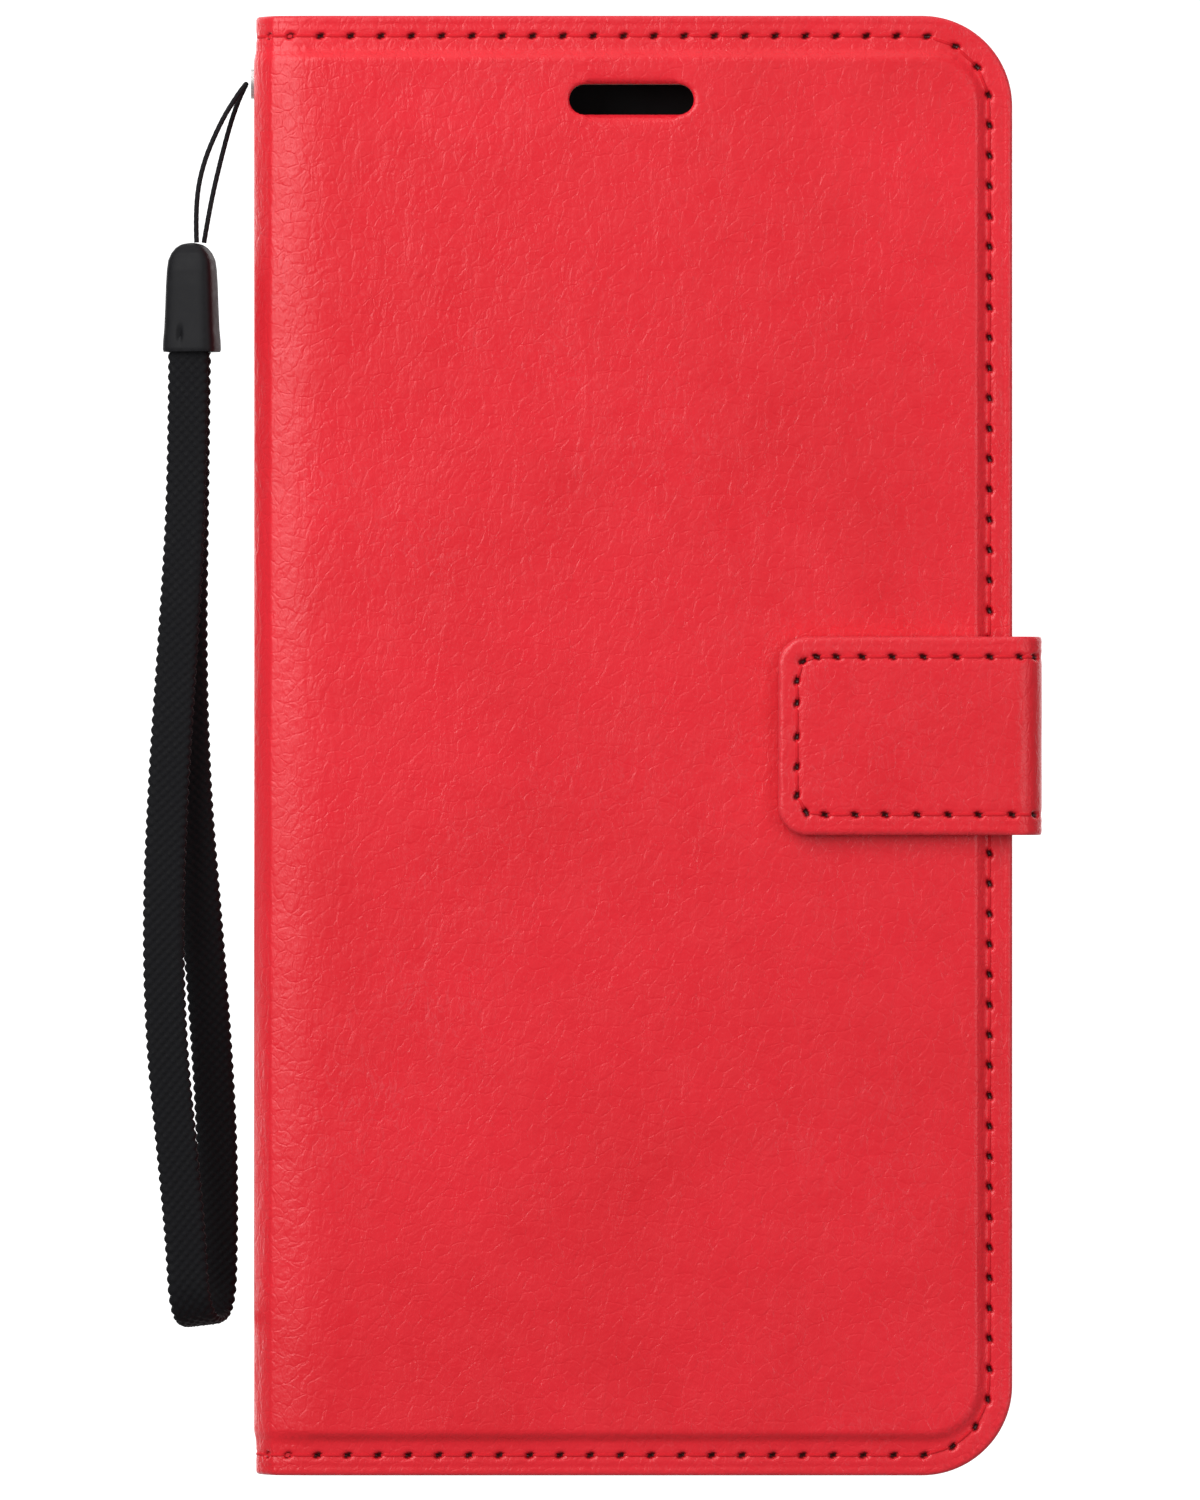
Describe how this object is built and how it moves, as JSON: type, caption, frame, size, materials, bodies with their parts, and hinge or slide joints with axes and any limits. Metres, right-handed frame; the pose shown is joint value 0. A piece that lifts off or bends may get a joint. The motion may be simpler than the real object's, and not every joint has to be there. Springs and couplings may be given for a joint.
{
  "type": "phone wallet case",
  "caption": "Red leather folio case for a phone with a moulded inner shell, card pockets, a magnetic clasp strap and a woven wrist lanyard.",
  "frame": {"origin": "middle of the closed case's bottom edge, where it stands", "axes": "+X from the spine to the clasp, +Y from the front cover to the rear cover, +Z from the bottom edge to the top"},
  "size_m": [0.1017, 0.0178, 0.165],
  "materials": {
    "red_leather": "glossy pull-up",
    "red_lining": "soft matt",
    "board": "black-faced",
    "black_tpu": "satin",
    "adhesive": "matt",
    "steel": "plain",
    "magnet": "nickel plated",
    "eyelet_metal": "polished nickel",
    "black_cord": "braided",
    "black_plastic": "satin",
    "black_webbing": "woven",
    "red_thread": "waxed thread"
  },
  "bodies": {
    "rear_cover": {"rear_skin": "red_leather", "rear_fold": "red_leather", "rear_board": "board", "rear_lining": "red_lining", "clasp_root": "red_leather", "phone_shell": "black_tpu", "shell_adhesive": "adhesive", "rear_stitching": "red_thread"},
    "spine": {"spine_skin": "red_leather", "spine_lining": "red_lining", "lanyard_eyelet": "eyelet_metal", "lanyard_knot": "black_cord"},
    "front_cover": {"front_skin": "red_leather", "front_board": "board", "closure_plate": "steel", "front_lining": "red_lining", "bill_pocket": "red_lining", "card_pocket_1": "red_lining", "card_pocket_2": "red_lining", "card_pocket_3": "red_lining", "front_stitching": "red_thread"},
    "clasp_side": {"clasp_side": "red_leather"},
    "clasp_tab": {"tab_skin": "red_leather", "tab_lining": "red_lining", "magnet_lower": "magnet", "magnet_upper": "magnet", "tab_stitching": "red_thread"},
    "lanyard": {"lanyard_cap": "black_plastic", "lanyard_cord": "black_cord", "lanyard_webbing": "black_webbing"}
  },
  "joints": [
    {"name": "spine_fold", "type": "hinge", "parent": "rear_cover", "child": "spine", "pos_m": [-0.04349, 0.00804, 0.0825], "axis": [0, 0, -1], "range_deg": [0, 90]},
    {"name": "front_flip", "type": "hinge", "parent": "spine", "child": "front_cover", "pos_m": [-0.04349, -0.00564, 0.0825], "axis": [0, 0, -1], "range_deg": [0, 90]},
    {"name": "clasp_side_fold", "type": "hinge", "parent": "rear_cover", "child": "clasp_side", "pos_m": [0.04415, 0.0077, 0.0836], "axis": [0, 0, 1], "range_deg": [0, 90]},
    {"name": "clasp_tab_fold", "type": "hinge", "parent": "clasp_side", "child": "clasp_tab", "pos_m": [0.04415, -0.0083, 0.0836], "axis": [0, 0, 1], "range_deg": [0, 90]},
    {"name": "lanyard_swing", "type": "hinge", "parent": "spine", "child": "lanyard", "pos_m": [-0.0455, 0.0012, 0.1576], "axis": [0, 1, 0], "range_deg": [0, 120]}
  ]
}
